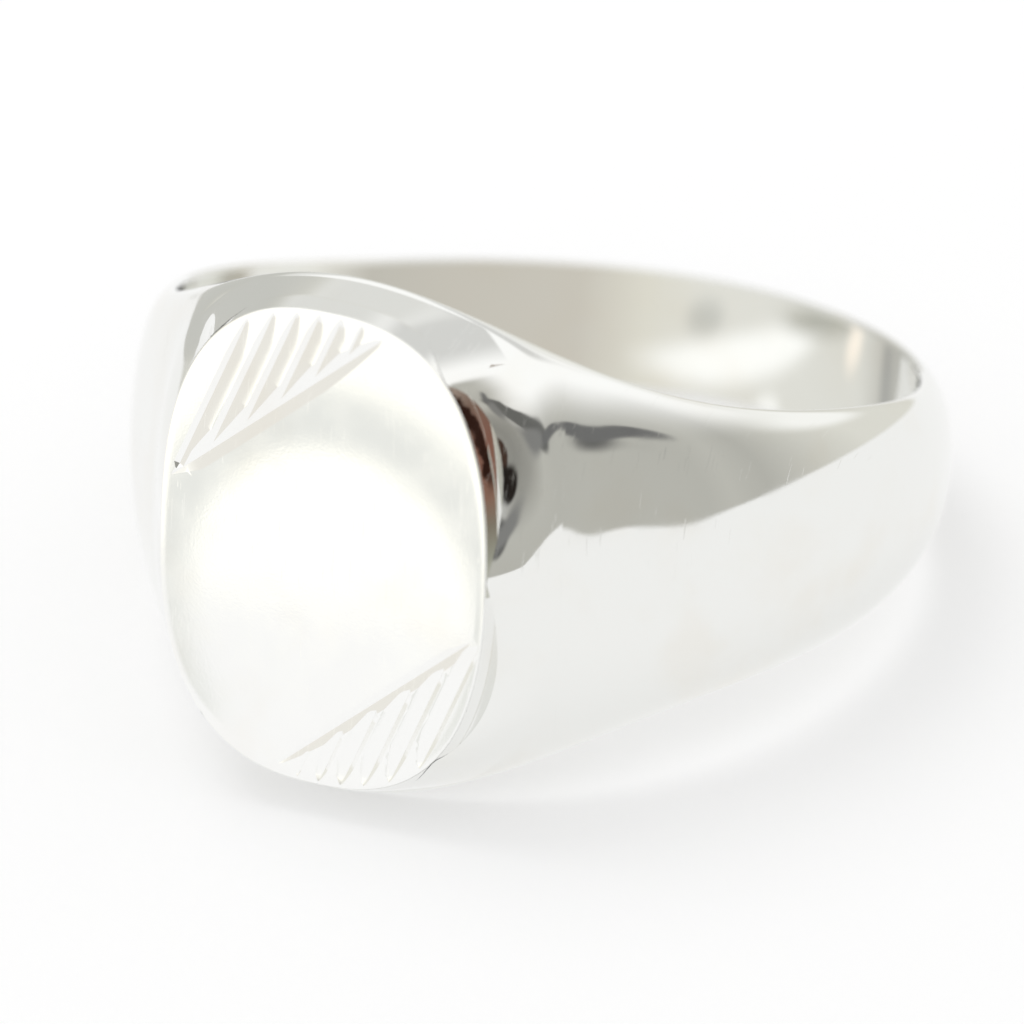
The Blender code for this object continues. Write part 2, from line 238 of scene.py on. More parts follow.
# Polish and wear. Depths and the sizes of patterns are in millimetres. A pair is where a noise starts to show
# and where it shows in full.
WALL_TO_FACE = (0.6, 0.85)
SCRATCH_DEPTH = 0.0006
SCRATCH_ROUGHNESS = 0.12
SCRATCH_SIZE = (0.035, 1.2, 1.2)
SCRATCH_SOFTNESS = 0.03
SCRATCH_GAP_SIZE = 1.4
SCRATCH_GAPS = (0.42, 0.55)
TARNISH_SIZE = 2.6
TARNISH = (0.45, 0.75)
SMUDGE_SIZE = 1.1
SMUDGES = (0.35, 0.7)
RIPPLE_SIZE = 3.0
GRAIN_SIZE = 0.07
POLISHED = {
    "colour": (0.865, 0.868, 0.845),
    "warm": (0.85, 0.84, 0.80),
    "roughness": 0.03,
    "smudge": 0.04,
    "wear": 0.27,
    "ripple": 0.006,
    "grain": 0.0001,
}
SATIN = {
    "colour": (0.95, 0.95, 0.935),
    "warm": (0.93, 0.92, 0.89),
    "roughness": 0.08,
    "smudge": 0.05,
    "wear": 0.28,
    "ripple": 0.003,
    "grain": 0.0006,
}
LINING = {
    "colour": (0.865, 0.862, 0.835),
    "warm": (0.84, 0.82, 0.77),
    "roughness": 0.035,
    "smudge": 0.045,
    "wear": 0.28,
    "ripple": 0.007,
    "grain": 0.0001,
}
SOLDER = {
    "colour": (0.86, 0.86, 0.83),
    "warm": (0.84, 0.82, 0.77),
    "roughness": 0.035,
    "smudge": 0.045,
    "wear": 0.27,
    "ripple": 0.006,
    "grain": 0.0001,
}
SCRATCH_TURNS = ((0.0, 0.0, 0.3), (0.6, 1.1, 1.9), (1.2, 0.4, 2.7), (0.3, 2.0, 1.0))

# Camera: a long lens from the upper right of the table, turned a little and aimed below the ring's middle.
AZIMUTH = math.radians(33.51)
ELEVATION = math.radians(31.05)
ROLL = math.radians(-6.75)
LENS = 1500
SENSOR = 36
VIEW_WIDTH = 26.18 * MM
AIM_RIGHT = -1.056 * MM
AIM_UP = -1.779 * MM
FOCUS_IN_FRONT = 8.0 * MM
F_STOP = 58
CLIP = (0.1, 10)


# --- Sizes from the frame -----------------------------------------------------------------------------


def ring_axes():
    """The ring's own directions: across the table, away from the table, and along the finger."""
    normal = Vector(frame["record"]["mounts"][0]["axis"]).normalized()
    across = Vector((1, 0, 0))
    return np.array((across, -normal, normal.cross(across)))


AXES = ring_axes()


def node_points(name):
    """A CAD node's vertices along the ring's directions, still from the world's origin."""
    mesh = frame["nodes"][name].data
    flat = np.empty(3 * len(mesh.vertices))
    mesh.vertices.foreach_get("co", flat)
    return flat.reshape(-1, 3) @ AXES.T


def find_bore():
    """The finger hole's middle and radius, from the faces of the body that look at its axis."""
    mesh = frame["nodes"]["ring_body"].data
    points = node_points("ring_body")
    middle = (points.min(axis=0) + points.max(axis=0)) / 2
    on_bore = set()
    for face in mesh.polygons:
        normal = AXES @ np.array(face.normal)
        arm = AXES @ np.array(face.center) - middle
        arm /= np.hypot(arm[0], arm[1])
        if normal[0] * arm[0] + normal[1] * arm[1] < -FACING_AXIS:
            on_bore.update(face.vertices)
    x, y, _ = points[sorted(on_bore)].T
    terms = np.stack((x, y, np.ones_like(x)), axis=1)
    fit = np.linalg.lstsq(terms, x * x + y * y, rcond=None)[0]
    centre = np.array((fit[0] / 2, fit[1] / 2, middle[2]))
    return centre, math.sqrt(fit[2] + centre[0] ** 2 + centre[1] ** 2)


CENTRE, BORE_RADIUS = find_bore()
RING = Matrix([list(row) for row in AXES.T]).to_4x4()
RING.translation = Vector(CENTRE @ AXES)


def ring_points(name):
    """A CAD node's vertices in the ring's own frame: table towards -Y, finger along Z."""
    return node_points(name) - CENTRE


def fair_curve(angles, values):
    """The fairest even curve near the values, on a grid of equal steps from angle 0 to pi."""
    place = np.asarray(angles) / math.pi * CURVE_STEPS
    low = np.minimum(place.astype(int), CURVE_STEPS - 1)
    rows = np.arange(len(place))
    through = np.zeros((len(place), CURVE_STEPS + 1))
    through[rows, low] = 1 - (place - low)
    through[rows, low + 1] = place - low
    size = CURVE_STEPS + 1
    bend = np.eye(size, k=1) + np.eye(size, k=-1) - 2 * np.eye(size)
    bend[0, 1] = bend[-1, -2] = 2
    pull = CURVE_HOLD * through.T
    return np.linalg.solve(pull @ through + bend.T @ bend, pull @ np.asarray(values))


def find_band():
    """The rim's radius, the half-width as a cosine series of the angle, and the crown's radius on a grid."""
    points = ring_points("ring_body")
    radius = np.hypot(points[:, 0], points[:, 1])
    angle = np.abs(np.arctan2(points[:, 0], -points[:, 1]))
    depth = np.abs(points[:, 2])
    rim_radius = radius[np.argmax(depth)]
    tips = np.abs(radius - rim_radius) < EVEN
    terms = np.cos(np.outer(angle[tips], range(WIDTH_TERMS)))
    series = np.linalg.lstsq(terms, depth[tips], rcond=None)[0]
    stations, crowns = [], []
    for tip in np.flatnonzero(tips):
        beside = (np.abs(angle - angle[tip]) < EVEN / rim_radius) & (radius > rim_radius + EVEN)
        if not beside.any():
            continue
        nearest = np.flatnonzero(beside)[np.argmax(depth[beside])]
        share = depth[nearest] / depth[tip]
        rise = math.sqrt(1 - share * share)
        stations.append(angle[tip])
        crowns.append(rim_radius + (radius[nearest] - rim_radius) / rise)
    return rim_radius, series, fair_curve(stations, crowns)


RIM_RADIUS, WIDTH_SERIES, CROWN_GRID = find_band()
RIM_ROUNDING = RIM_RADIUS - BORE_RADIUS


def find_table():
    """Heights, half-sizes and the outline's exponent, from the face plate and the head under it."""
    points = ring_points("face_plate")
    height = -points[:, 1]
    top, low = height.max(), height.min()
    face = np.abs(points[height > top - EVEN])
    edge = np.abs(points[height > (top + low) / 2])
    base = np.abs(points[height < low + EVEN])
    share_x = base[:, 0] / base[:, 0].max()
    share_z = base[:, 2] / base[:, 2].max()
    corner = np.argmin(np.abs(share_x - share_z))
    return {
        "top": top,
        "low": low,
        "half_width": edge[:, 0].max(),
        "half_length": edge[:, 2].max(),
        "bevel": edge[:, 0].max() - face[:, 0].max(),
        "base_half_width": base[:, 0].max(),
        "base_half_length": base[:, 2].max(),
        "exponent": math.log(0.5) / math.log((share_x[corner] + share_z[corner]) / 2),
    }


def find_back_plate():
    """Half-sizes and thickness of the plate that closes the hollow, and its vent's place and radius."""
    points = ring_points("back_plate")
    radius = np.hypot(points[:, 0], points[:, 1])
    inner = points[radius < BORE_RADIUS + SMALL_GAP]
    vent = inner[(np.abs(inner[:, 0]) < VENT_SEARCH) & (inner[:, 2] > 0)]
    vent = vent[vent[:, 2] < points[:, 2].max() - VENT_SEARCH / 2]
    return {
        "half_width": points[:, 0].max(),
        "half_length": points[:, 2].max(),
        "thickness": radius.max() - BORE_RADIUS,
        "vent_radius": (vent[:, 2].max() - vent[:, 2].min()) / 2,
        "vent_height": (vent[:, 2].max() + vent[:, 2].min()) / 2,
    }


TABLE = find_table()
HEAD_TOP = -ring_points("ring_body")[:, 1].min()
HEAD_HALF_WIDTH = TABLE["base_half_width"]
WALL_DRAFT = (TABLE["base_half_length"] - TABLE["half_length"]) / (TABLE["top"] - TABLE["low"])
HEAD_HALF_LENGTH = TABLE["half_length"] + WALL_DRAFT * (TABLE["top"] - HEAD_TOP)
BACK_PLATE = find_back_plate()
SEAM_GAP = TABLE["low"] - HEAD_TOP
SHOULDER_HALF_WIDTH = HEAD_HALF_WIDTH * (1 + SHOULDER_RUN_SHARE)
SHOULDER_HALF_LENGTH = float(np.sum(WIDTH_SERIES)) * SHOULDER_RIM_SHARE
SIZING_GAP = 2 * float(np.abs(ring_points("sizing_solder_seam")[:, 0]).max())


# --- Mesh helpers -------------------------------------------------------------------------------------


def object_from(bm, name, material):
    """Turn a bmesh drawn in the ring's frame into a smooth-shaded object, placed in the world with the ring.
    """
    bmesh.ops.recalc_face_normals(bm, faces=bm.faces)
    mesh = bpy.data.meshes.new(name)
    bm.to_mesh(mesh)
    bm.free()
    mesh.shade_smooth()
    mesh.set_sharp_from_angle(angle=SMOOTH_BELOW)
    piece = bpy.data.objects.new(name, mesh)
    bpy.context.scene.collection.objects.link(piece)
    mesh.transform(RING)
    if material:
        mesh.materials.append(material)
    return piece


def bridge(bm, loops, closed=False):
    """Join a row of equal closed loops with quads, and cap the two ends of an open row."""
    rings = [[bm.verts.new(point) for point in loop] for loop in loops]
    pairs = list(zip(rings, rings[1:]))
    if closed:
        pairs.append((rings[-1], rings[0]))
    for ring, following in pairs:
        for i in range(len(ring)):
            j = (i + 1) % len(ring)
            bm.faces.new((ring[i], ring[j], following[j], following[i]))
    if not closed:
        bm.faces.new(rings[0])
        bm.faces.new(rings[-1])


def superellipse(half_width, half_length, turn):
    """A point of the table's outline, with turn 0 at the top and a quarter turn at +X."""
    power = 2 / TABLE["exponent"]
    across = math.copysign(abs(math.sin(turn)) ** power, math.sin(turn))
    along = math.copysign(abs(math.cos(turn)) ** power, math.cos(turn))
    return half_width * across, half_length * along


def outline(half_width, half_length, height):
    """The table's outline as a loop of points at a height above the finger hole's axis."""
    loop = []
    for i in range(OUTLINE_POINTS):
        x, z = superellipse(half_width, half_length, math.tau * i / OUTLINE_POINTS)
        loop.append((x, -height, z))
    return loop


# --- The band's surface -------------------------------------------------------------------------------


def band_half_width(angle):
    """Half the band's width along the finger, at an angle from the table's middle."""
    return sum(size * math.cos(term * angle) for term, size in enumerate(WIDTH_SERIES))


def crown_radius(angle):
    """The band's outer radius on its middle line."""
    place = abs(angle) / math.pi * CURVE_STEPS
    low = min(int(place), CURVE_STEPS - 1)
    return CROWN_GRID[low] + (CROWN_GRID[low + 1] - CROWN_GRID[low]) * (place - low)


def around(radius, angle, z):
    """A point of the ring's frame, at an angle from the table's middle."""
    return Vector((radius * math.sin(angle), -radius * math.cos(angle), z))


def band_point(angle, share):
    """A point of the band's D-shaped outer surface, with z as a share of the half-width there."""
    rise = math.sqrt(1 - share * share)
    radius = RIM_RADIUS + (crown_radius(angle) - RIM_RADIUS) * rise
    return around(radius, angle, share * band_half_width(angle))


def band_place(x, z):
    """The angle and the share of the half-width where the band has this x and z, short of its rim."""
    angle = math.atan2(x, HEAD_TOP)
    for _ in range(PLACE_ROUNDS):
        share = min(z / band_half_width(angle), SHOULDER_RIM_SHARE)
        angle = math.asin(x / math.hypot(*band_point(angle, share).xy))
    return angle, share


def between(value, low, high):
    """0 below low, 1 above high, and an even ramp in between."""
    return min(max((value - low) / (high - low), 0.0), 1.0)


def smooth_step(share):
    """An even ramp from 0 to 1 with its two ends eased."""
    return share * share * (3 - 2 * share)


def shoulder_top(turn):
    """How high the shoulder reaches on the table's wall: its ridges are flush with the table's edge."""
    flush = TABLE["top"] - TABLE["bevel"]
    if turn < CORNER_RIDGE:
        return HEAD_TOP + (flush - HEAD_TOP) * smooth_step(between(turn, FACET_END, CORNER_RIDGE))
    place = between(turn, CORNER_RIDGE, math.pi / 2)
    return flush - VALLEY_DEPTH * math.sin(math.pi * place) ** VALLEY_ROUNDNESS


def shoulder(turn, angle, share):
    """The curve from the band up to the table's wall, and along the wall to the head's flat.

    Beside the finger hole's rim it is a straight facet in line with the wall.
    """
    foot = band_point(angle, share)
    along = band_point(angle + SLOPE_STEP, share) - band_point(angle - SLOPE_STEP, share)
    across = band_point(angle, share + SLOPE_STEP) - band_point(angle, share - SLOPE_STEP)
    normal = along.cross(across).normalized()
    x, z = superellipse(TABLE["half_width"], TABLE["half_length"], turn)
    table = Vector((x, -TABLE["top"], z))
    x, z = superellipse(HEAD_HALF_WIDTH, HEAD_HALF_LENGTH, turn)
    head = Vector((x, -HEAD_TOP, z))
    top = head.lerp(table, (shoulder_top(turn) - HEAD_TOP) / (TABLE["top"] - HEAD_TOP))
    climb = top - foot
    level = climb - normal * climb.dot(normal)
    straight = 1 - smooth_step(between(turn, FACET_HELD, FACET_FADED))
    bend = foot + (level * (1 - straight) + climb * straight) * SHOULDER_BEND
    points = []
    for i in range(1, SHOULDER_STEPS + 1):
        t = i / SHOULDER_STEPS
        points.append((1 - t) ** 2 * foot + 2 * t * (1 - t) * bend + t * t * top)
    return points + [head]


def band_section(angle, share=0.0, turn=None):
    """Half a section of the band at an angle, from the finger hole over its rim to a share of its width.

    Beside the table it goes on up the shoulder, to the turn of the table's outline.
    """
    width = band_half_width(angle)
    points = []
    for i in range(RIM_STEPS):
        roll = math.pi / 2 * i / RIM_STEPS
        z = width - RIM_ROUNDING * (1 - math.sin(roll))
        points.append(around(RIM_RADIUS - RIM_ROUNDING * math.cos(roll), angle, z))
    for i in range(SECTION_STEPS + 1):
        points.append(band_point(angle, math.cos(math.acos(share) * i / SECTION_STEPS)))
    if turn is None:
        return points + points[-1:] * (SHOULDER_STEPS + 1)
    return points + shoulder(turn, angle, share)


def both_halves(section, side=1):
    """The closed loop of a half section and its mirror image in z; side -1 also mirrors it in x."""
    loop = section + [Vector((p.x, p.y, -p.z)) for p in reversed(section)]
    return [Vector((side * p.x, p.y, p.z)) for p in loop]


def half_ring():
    """Half sections from the table's middle round to the seam at the back."""
    sections = []
    for i in range(HEAD_STEPS + 1):
        turn = math.pi / 2 * i / HEAD_STEPS
        x, z = superellipse(SHOULDER_HALF_WIDTH, SHOULDER_HALF_LENGTH, turn)
        angle, share = band_place(x, z if i < HEAD_STEPS else 0.0)
        sections.append(band_section(angle, share, turn))
    last = math.pi - SIZING_GAP / 2 / BORE_RADIUS
    for i in range(1, SHANK_STEPS + 1):
        sections.append(band_section(angle + (last - angle) * i / SHANK_STEPS))
    return sections


def cutter(bm, name):
    """A solid that is only used to cut another, and is gone once it has cut."""
    return object_from(bm, name, None)


def cut(piece, tools):
    """Take the cutters out of the piece's mesh and remove them."""
    bpy.context.view_layer.update()
    for tool in tools:
        modifier = piece.modifiers.new(tool.name, "BOOLEAN")
        modifier.operation = "DIFFERENCE"
        modifier.solver = "EXACT"
        modifier.object = tool
    depsgraph = bpy.context.evaluated_depsgraph_get()
    mesh = bpy.data.meshes.new_from_object(piece.evaluated_get(depsgraph))
    piece.modifiers.clear()
    piece.data = mesh
    for tool in tools:
        bpy.data.objects.remove(tool)


# --- Pieces -------------------------------------------------------------------------------------------


def make_band(silver):
    """The bent blank: head with its hollow, shoulders and D-section shank, up to the sizing seam."""
    half = half_ring()
    loops = [both_halves(section, side=-1) for section in reversed(half[1:])]
    loops += [both_halves(section) for section in half]
    bm = bmesh.new()
    bridge(bm, loops)
    folded = [face for face in bm.faces if all(abs(vert.co.z) < SMALLEST for vert in face.verts)]
    bmesh.ops.delete(bm, geom=folded, context="FACES")
    bmesh.ops.remove_doubles(bm, verts=bm.verts, dist=SMALLEST)
    band = object_from(bm, "silver_band", silver)
    window = bmesh.new()
    half_width = BACK_PLATE["half_width"] + SEAM_GAP
    half_length = BACK_PLATE["half_length"] + SEAM_GAP
    heights = (HEAD_TOP + MM, BORE_RADIUS - MM)
    bridge(window, [outline(half_width, half_length, height) for height in heights])
    cut(band, [cutter(window, "head_window_cutter")])
    return band


def make_table(silver):
    """The engraved table: a thin plate with a rounded upper edge and a face that is crowned a little."""
    wall = TABLE["top"] - TABLE["bevel"] - TABLE["low"]
    loops = []
    narrowing = TABLE["half_width"] - TABLE["base_half_width"]
    shortening = TABLE["half_length"] - TABLE["base_half_length"]
    for share in (0, WALL_HOLD, 1 - WALL_HOLD):
        half_width = TABLE["base_half_width"] + narrowing * share
        half_length = TABLE["base_half_length"] + shortening * share
        loops.append(outline(half_width, half_length, TABLE["low"] + wall * share))
    for i in range(EDGE_STEPS + 1):
        roll = math.pi / 2 * i / EDGE_STEPS
        inward = TABLE["bevel"] * (1 - math.cos(roll))
        height = TABLE["top"] - FACE_CROWN - TABLE["bevel"] * (1 - math.sin(roll))
        loops.append(outline(TABLE["half_width"] - inward, TABLE["half_length"] - inward, height))
    face_half_width = TABLE["half_width"] - TABLE["bevel"]
    face_half_length = TABLE["half_length"] - TABLE["bevel"]
    for i in range(1, FACE_RINGS):
        share = 1 - i / FACE_RINGS
        height = TABLE["top"] - FACE_CROWN * share * share
        loops.append(outline(face_half_width * share, face_half_length * share, height))
    bm = bmesh.new()
    bridge(bm, loops)
    plate = object_from(bm, "engraved_table", silver)
    tools = engraving_tools(**UPPER_CORNER) + engraving_tools(**LOWER_CORNER)
    cut(plate, tools)
    plate.data.set_sharp_from_angle(angle=TABLE_SMOOTH_BELOW)
    return plate


def graver_cut(start, end, width, lean, ends):
    """A V-shaped cut from start to end on the table, as a bmesh.

    Lean is the share of its width left of its bottom, and ends has the shares of its length where it deepens.
    """
    along = (end - start).normalized()
    across = Vector((-along.y, along.x))
    lift = GRAVER_LIFT * TABLE["half_width"]
    sections = []
    for i in range(CUT_STEPS + 1):
        share = i / CUT_STEPS
        depth = width / 2 / CUT_SLOPE
        depth *= between(share, 0, ends[0]) * math.sqrt(between(1 - share, 0, ends[1]))
        middle = start.lerp(end, share)
        reach = 2 * (depth + lift) * CUT_SLOPE
        left = middle + across * reach * lean
        right = middle - across * reach * (1 - lean)
        sections.append(
            (
                (left.x, -TABLE["top"] - lift, left.y),
                (middle.x, -TABLE["top"] + depth, middle.y),
                (right.x, -TABLE["top"] - lift, right.y),
            )
        )
    bm = bmesh.new()
    bridge(bm, sections)
    return bm


def run_to_edge(start, direction, margin):
    """Where a line on the table meets its outline, drawn in by the margin."""
    half_width = TABLE["half_width"] - margin
    half_length = TABLE["half_length"] - margin
    near, far = 0.0, 2 * TABLE["half_length"]
    while far - near > SMALLEST:
        middle = (near + far) / 2
        point = start + direction * middle
        across = abs(point.x / half_width) ** TABLE["exponent"]
        along = abs(point.y / half_length) ** TABLE["exponent"]
        near, far = (middle, far) if across + along < 1 else (near, middle)
    return start + direction * near


def engraving_tools(name, side, groove_width, groove_at, flutes_from, flute_start):
    """The cutters of one corner: the long cut and its flutes; the opposite corner has side -1."""
    unit = TABLE["half_width"]
    chord = side * Vector((math.cos(CHORD_DIRECTION), math.sin(CHORD_DIRECTION)))
    outward = Vector((-chord.y, chord.x))
    flute = side * Vector((math.cos(FLUTE_DIRECTION), math.sin(FLUTE_DIRECTION)))
    middle = outward * groove_at * unit
    ends = [run_to_edge(middle, chord * way, GROOVE_EDGE_MARGIN * unit) for way in (-1, 1)]
    groove = graver_cut(*ends, groove_width * unit, GROOVE_LEAN, GROOVE_ENDS)
    tools = [cutter(groove, f"{name}_groove_cutter")]
    for i in range(FLUTE_COUNT):
        start = (outward * flutes_from + chord * (FIRST_FLUTE + FLUTE_SPACING * i)) * unit
        end = run_to_edge(start, flute, FLUTE_EDGE_MARGIN * unit)
        width = min(FLUTE_WIDTH * unit, FLUTE_WIDTH_SHARE * (end - start).length)
        flute_cut = graver_cut(start, end, width, FLUTE_LEAN, (flute_start, FLUTE_END))
        tools.append(cutter(flute_cut, f"{name}_flute_{i + 1}_cutter"))
    return tools


def make_table_solder(solder):
    """The film that fills the joint between the table and the head, flush with their walls."""
    inner_half_width = BACK_PLATE["half_width"] + SEAM_GAP
    inner_half_length = BACK_PLATE["half_length"] + SEAM_GAP
    loops = [
        outline(inner_half_width, inner_half_length, HEAD_TOP),
        outline(HEAD_HALF_WIDTH, HEAD_HALF_LENGTH, HEAD_TOP),
        outline(TABLE["base_half_width"], TABLE["base_half_length"], TABLE["low"]),
        outline(inner_half_width, inner_half_length, TABLE["low"]),
    ]
    bm = bmesh.new()
    bridge(bm, loops, closed=True)
    return object_from(bm, "table_solder_line", solder)


def on_bore(loop, radius):
    """Drop a loop along Y on a cylinder about the finger hole's axis."""
    return [(x, -math.sqrt(radius * radius - x * x), z) for x, _, z in loop]


def make_back_plate(silver):
    """The curved plate that closes the hollow on the finger's side, with its vent."""
    inner = BORE_RADIUS
    outer = BORE_RADIUS + BACK_PLATE["thickness"]
    half = OUTLINE_POINTS // 2
    bm = bmesh.new()
    rows = []
    for i in range(half + 1):
        turn = math.pi * (i / half - 0.5)
        x, z = superellipse(BACK_PLATE["half_width"], BACK_PLATE["half_length"], turn)
        if i in (0, half):
            z = 0.0
        corners = ((inner, z), (outer, z), (outer, -z), (inner, -z))
        rows.append([bm.verts.new((x, -math.sqrt(r * r - x * x), end)) for r, end in corners])
    for row, following in zip(rows, rows[1:]):
        for i in range(4):
            j = (i + 1) % 4
            bm.faces.new((row[i], row[j], following[j], following[i]))
    bmesh.ops.remove_doubles(bm, verts=bm.verts, dist=SMALLEST)
    plate = object_from(bm, "inner_back_plate", silver)
    vent = bmesh.new()
    radius = BACK_PLATE["vent_radius"]
    size = {"segments": VENT_SEGMENTS, "radius1": radius, "radius2": radius, "depth": 2 * MM}
    bmesh.ops.create_cone(vent, cap_ends=True, **size)
    bmesh.ops.rotate(vent, matrix=Matrix.Rotation(math.pi / 2, 3, "X"), verts=vent.verts)
    bmesh.ops.translate(vent, vec=(0, -BORE_RADIUS, BACK_PLATE["vent_height"]), verts=vent.verts)
    cut(plate, [cutter(vent, "vent_cutter")])
    return plate


def make_back_solder(solder):
    """The film that fills the joint round the back plate."""
    inner = BORE_RADIUS
    outer = BORE_RADIUS + BACK_PLATE["thickness"]
    loops = []
    for margin, radius in ((0, inner), (SEAM_GAP, inner), (SEAM_GAP, outer), (0, outer)):
        flat = outline(BACK_PLATE["half_width"] + margin, BACK_PLATE["half_length"] + margin, 0)
        loops.append(on_bore(flat, radius))
    bm = bmesh.new()
    bridge(bm, loops, closed=True)
    return object_from(bm, "back_plate_solder_line", solder)


def make_sizing_solder(solder):
    """The film where the blank's two ends meet at the back, with the shank's own section."""
    end = band_section(math.pi - SIZING_GAP / 2 / BORE_RADIUS)
    bm = bmesh.new()
    bridge(bm, [both_halves(end), both_halves(end, side=-1)])
    bmesh.ops.remove_doubles(bm, verts=bm.verts, dist=SMALLEST)
    return object_from(bm, "sizing_solder_line", solder)


# --- Materials ----------------------------------------------------------------------------------------


class Nodes:
    """Short calls for building a node tree."""

    def __init__(self, tree):
        self.tree = tree

    def add(self, kind, **settings):
        node = self.tree.nodes.new(kind)
        for name, value in settings.items():
            setattr(node, name, value)
        return node

    def feed(self, socket, value):
        """Link a socket to another, or set its value."""
        if isinstance(value, bpy.types.NodeSocket):
            self.tree.links.new(value, socket)
        else:
            socket.default_value = value

    def math(self, operation, *values, clamp=False):
        node = self.add("ShaderNodeMath", operation=operation, use_clamp=clamp)
        for socket, value in zip(node.inputs, values):
            self.feed(socket, value)
        return node.outputs[0]

    def distance(self, x, y):
        squares = self.math("ADD", self.math("MULTIPLY", x, x), self.math("MULTIPLY", y, y))
        return self.math("SQRT", squares)

    def mix(self, share, first, second):
        """A colour between two others."""
        node = self.add("ShaderNodeMix", data_type="RGBA")
        self.feed(node.inputs["Factor"], share)
        colours = [socket for socket in node.inputs if socket.type == "RGBA"]
        self.feed(colours[0], first)
        self.feed(colours[1], second)
        return [socket for socket in node.outputs if socket.type == "RGBA"][0]

    def ramp(self, value, stops):
        """The colour at a value between stops of (value, colour)."""
        low, high = stops[0][0], stops[-1][0]
        node = self.add("ShaderNodeValToRGB")
        self.feed(node.inputs["Fac"], self.math("DIVIDE", self.math("SUBTRACT", value, low), high - low))
        elements = node.color_ramp.elements
        while len(elements) < len(stops):
            elements.new(0.5)
        for element, (place, colour) in zip(elements, stops):
            element.position = (place - low) / (high - low)
            element.color = (*colour, 1.0)
        return node.outputs["Color"]

    def smooth(self, value, low, high):
        """0 below low, 1 above high, and smooth in between."""
        node = self.add("ShaderNodeMapRange", interpolation_type="SMOOTHSTEP")
        self.feed(node.inputs["Value"], value)
        self.feed(node.inputs["From Min"], low)
        self.feed(node.inputs["From Max"], high)
        return node.outputs["Result"]


def in_ring(nodes, hub, stretch=(1, 1, 1), turn=(0, 0, 0)):
    """Coordinates in the ring's frame, in millimetres, turned and then stretched."""
    place = nodes.add("ShaderNodeTexCoord")
    place.object = hub
    mapping = nodes.add("ShaderNodeMapping")
    nodes.feed(mapping.inputs["Vector"], place.outputs["Object"])
    nodes.feed(mapping.inputs["Rotation"], turn)
    nodes.feed(mapping.inputs["Scale"], [1 / MM / size for size in stretch])
    return mapping.outputs["Vector"]


def noise(nodes, vector, detail, scale=1.0):
    node = nodes.add("ShaderNodeTexNoise")
    nodes.feed(node.inputs["Vector"], vector)
    nodes.feed(node.inputs["Scale"], scale)
    nodes.feed(node.inputs["Detail"], detail)
    return node.outputs["Fac"]


def even_noise(nodes, hub, size, detail):
    """Noise with blotches of about this size in millimetres, the same in every direction."""
    return noise(nodes, in_ring(nodes, hub, (size, size, size)), detail)


def scratches(nodes, hub, amount):
    """Fine straight scratches in several directions: 1 in a scratch, 0 beside it."""
    total = 0.0
    for turn in SCRATCH_TURNS:
        lines = noise(nodes, in_ring(nodes, hub, SCRATCH_SIZE, turn), detail=1.0)
        gap_size = (SCRATCH_GAP_SIZE, SCRATCH_GAP_SIZE, SCRATCH_GAP_SIZE)
        gaps = noise(nodes, in_ring(nodes, hub, gap_size, turn), detail=1.0)
        line = nodes.smooth(lines, 1 - amount, 1 - amount + SCRATCH_SOFTNESS)
        line = nodes.math("MULTIPLY", line, nodes.smooth(gaps, *SCRATCH_GAPS))
        total = nodes.math("ADD", total, line)
    return nodes.math("MINIMUM", total, 1.0)


def silver(name, hub, look, face=None):
    """Sterling silver: rippled by hand polishing, smudged, finely scratched, and warmer where it tarnishes.

    The face look, if any, is for what faces the way the table does, and the first look for its walls.
    """
    material = bpy.data.materials.new(name)
    material.use_nodes = True
    tree = material.node_tree
    nodes = Nodes(tree)
    surface = tree.nodes["Principled BSDF"]
    surface.inputs["Metallic"].default_value = 1.0
    values = {key: look[key] for key in ("colour", "warm", "roughness", "smudge", "ripple", "grain")}
    if face:
        facing = nodes.add("ShaderNodeVectorMath", operation="DOT_PRODUCT")
        nodes.feed(facing.inputs[0], nodes.add("ShaderNodeNewGeometry").outputs["True Normal"])
        nodes.feed(facing.inputs[1], -RING.col[1].xyz)
        share = nodes.smooth(facing.outputs["Value"], *WALL_TO_FACE)
        for key in values:
            if key in ("colour", "warm"):
                values[key] = nodes.mix(share, (*look[key], 1.0), (*face[key], 1.0))
            else:
                values[key] = nodes.math("MULTIPLY_ADD", share, face[key] - look[key], look[key])
    else:
        values["colour"] = (*look["colour"], 1.0)
        values["warm"] = (*look["warm"], 1.0)
    tarnish = nodes.smooth(even_noise(nodes, hub, TARNISH_SIZE, detail=3.0), *TARNISH)
    nodes.feed(surface.inputs["Base Color"], nodes.mix(tarnish, values["colour"], values["warm"]))
    wear = scratches(nodes, hub, look["wear"])
    cloud = nodes.smooth(even_noise(nodes, hub, SMUDGE_SIZE, detail=4.0), *SMUDGES)
    rough = nodes.math("MULTIPLY_ADD", cloud, values["smudge"], values["roughness"])
    rough = nodes.math("MULTIPLY_ADD", wear, SCRATCH_ROUGHNESS, rough)
    nodes.feed(surface.inputs["Roughness"], rough)
    ripple = even_noise(nodes, hub, RIPPLE_SIZE, detail=0.5)
    grain = even_noise(nodes, hub, GRAIN_SIZE, detail=2.0)
    height = nodes.math("MULTIPLY", ripple, values["ripple"])
    height = nodes.math("MULTIPLY_ADD", grain, values["grain"], height)
    height = nodes.math("MULTIPLY_ADD", wear, -SCRATCH_DEPTH, height)
    bump = nodes.add("ShaderNodeBump")
    nodes.feed(bump.inputs["Height"], height)
    nodes.feed(bump.inputs["Distance"], MM)
    nodes.feed(surface.inputs["Normal"], bump.outputs["Normal"])
    return material


# --- Stage --------------------------------------------------------------------------------------------


